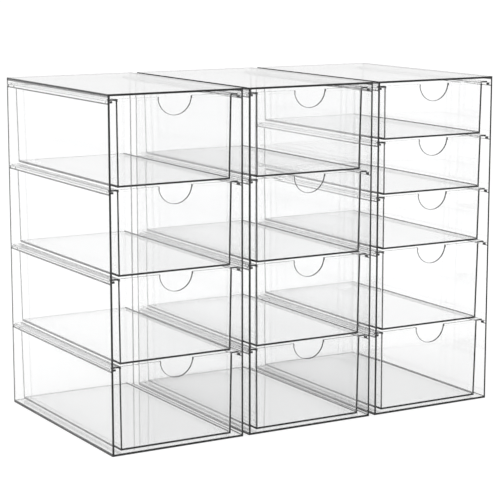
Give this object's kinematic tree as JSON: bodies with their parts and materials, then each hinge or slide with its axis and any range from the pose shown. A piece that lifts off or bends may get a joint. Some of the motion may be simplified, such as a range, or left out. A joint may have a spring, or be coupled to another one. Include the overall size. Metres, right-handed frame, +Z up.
{
  "type": "craft storage drawers",
  "caption": "Clear stackable storage drawers in a row of free-standing stacks, each with open-fronted casings, sliding drawers with half-moon finger notches and a top cover.",
  "frame": {"origin": "centre of the row's bounding box on the surface the stacks stand on", "axes": "+Z up, +X along the row from the left stack to the right one, -Y out of the drawers' fronts"},
  "size_m": [0.5254, 0.283, 0.408],
  "materials": {
    "clear_casing": "clear, polished",
    "clear_drawer": "clear, polished",
    "clear_cover": "clear, polished"
  },
  "bodies": {
    "stacks": {"left_casing_1": "clear_casing", "left_casing_2": "clear_casing", "left_casing_3": "clear_casing", "left_casing_4": "clear_casing", "left_cover": "clear_cover", "middle_casing_1": "clear_casing", "middle_casing_2": "clear_casing", "middle_casing_3": "clear_casing", "middle_casing_4": "clear_casing", "middle_cover": "clear_cover", "right_casing_1": "clear_casing", "right_casing_2": "clear_casing", "right_casing_3": "clear_casing", "right_casing_4": "clear_casing", "right_casing_5": "clear_casing", "right_cover": "clear_cover"},
    "left_drawer_1_body": {"left_drawer_1": "clear_drawer"},
    "left_drawer_2_body": {"left_drawer_2": "clear_drawer"},
    "left_drawer_3_body": {"left_drawer_3": "clear_drawer"},
    "left_drawer_4_body": {"left_drawer_4": "clear_drawer"},
    "middle_drawer_1_body": {"middle_drawer_1": "clear_drawer"},
    "middle_drawer_2_body": {"middle_drawer_2": "clear_drawer"},
    "middle_drawer_3_body": {"middle_drawer_3": "clear_drawer"},
    "middle_drawer_4_body": {"middle_drawer_4": "clear_drawer"},
    "right_drawer_1_body": {"right_drawer_1": "clear_drawer"},
    "right_drawer_2_body": {"right_drawer_2": "clear_drawer"},
    "right_drawer_3_body": {"right_drawer_3": "clear_drawer"},
    "right_drawer_4_body": {"right_drawer_4": "clear_drawer"},
    "right_drawer_5_body": {"right_drawer_5": "clear_drawer"}
  },
  "joints": [
    {"name": "left_drawer_1_slide", "type": "slide", "parent": "stacks", "child": "left_drawer_1_body", "axis": [0, -1, 0], "range_m": [0, 0.235]},
    {"name": "left_drawer_2_slide", "type": "slide", "parent": "stacks", "child": "left_drawer_2_body", "axis": [0, -1, 0], "range_m": [0, 0.235]},
    {"name": "left_drawer_3_slide", "type": "slide", "parent": "stacks", "child": "left_drawer_3_body", "axis": [0, -1, 0], "range_m": [0, 0.235]},
    {"name": "left_drawer_4_slide", "type": "slide", "parent": "stacks", "child": "left_drawer_4_body", "axis": [0, -1, 0], "range_m": [0, 0.235]},
    {"name": "middle_drawer_1_slide", "type": "slide", "parent": "stacks", "child": "middle_drawer_1_body", "axis": [0, -1, 0], "range_m": [0, 0.235]},
    {"name": "middle_drawer_2_slide", "type": "slide", "parent": "stacks", "child": "middle_drawer_2_body", "axis": [0, -1, 0], "range_m": [0, 0.235]},
    {"name": "middle_drawer_3_slide", "type": "slide", "parent": "stacks", "child": "middle_drawer_3_body", "axis": [0, -1, 0], "range_m": [0, 0.235]},
    {"name": "middle_drawer_4_slide", "type": "slide", "parent": "stacks", "child": "middle_drawer_4_body", "axis": [0, -1, 0], "range_m": [0, 0.235]},
    {"name": "right_drawer_1_slide", "type": "slide", "parent": "stacks", "child": "right_drawer_1_body", "axis": [0, -1, 0], "range_m": [0, 0.235]},
    {"name": "right_drawer_2_slide", "type": "slide", "parent": "stacks", "child": "right_drawer_2_body", "axis": [0, -1, 0], "range_m": [0, 0.235]},
    {"name": "right_drawer_3_slide", "type": "slide", "parent": "stacks", "child": "right_drawer_3_body", "axis": [0, -1, 0], "range_m": [0, 0.235]},
    {"name": "right_drawer_4_slide", "type": "slide", "parent": "stacks", "child": "right_drawer_4_body", "axis": [0, -1, 0], "range_m": [0, 0.235]},
    {"name": "right_drawer_5_slide", "type": "slide", "parent": "stacks", "child": "right_drawer_5_body", "axis": [0, -1, 0], "range_m": [0, 0.235]}
  ]
}
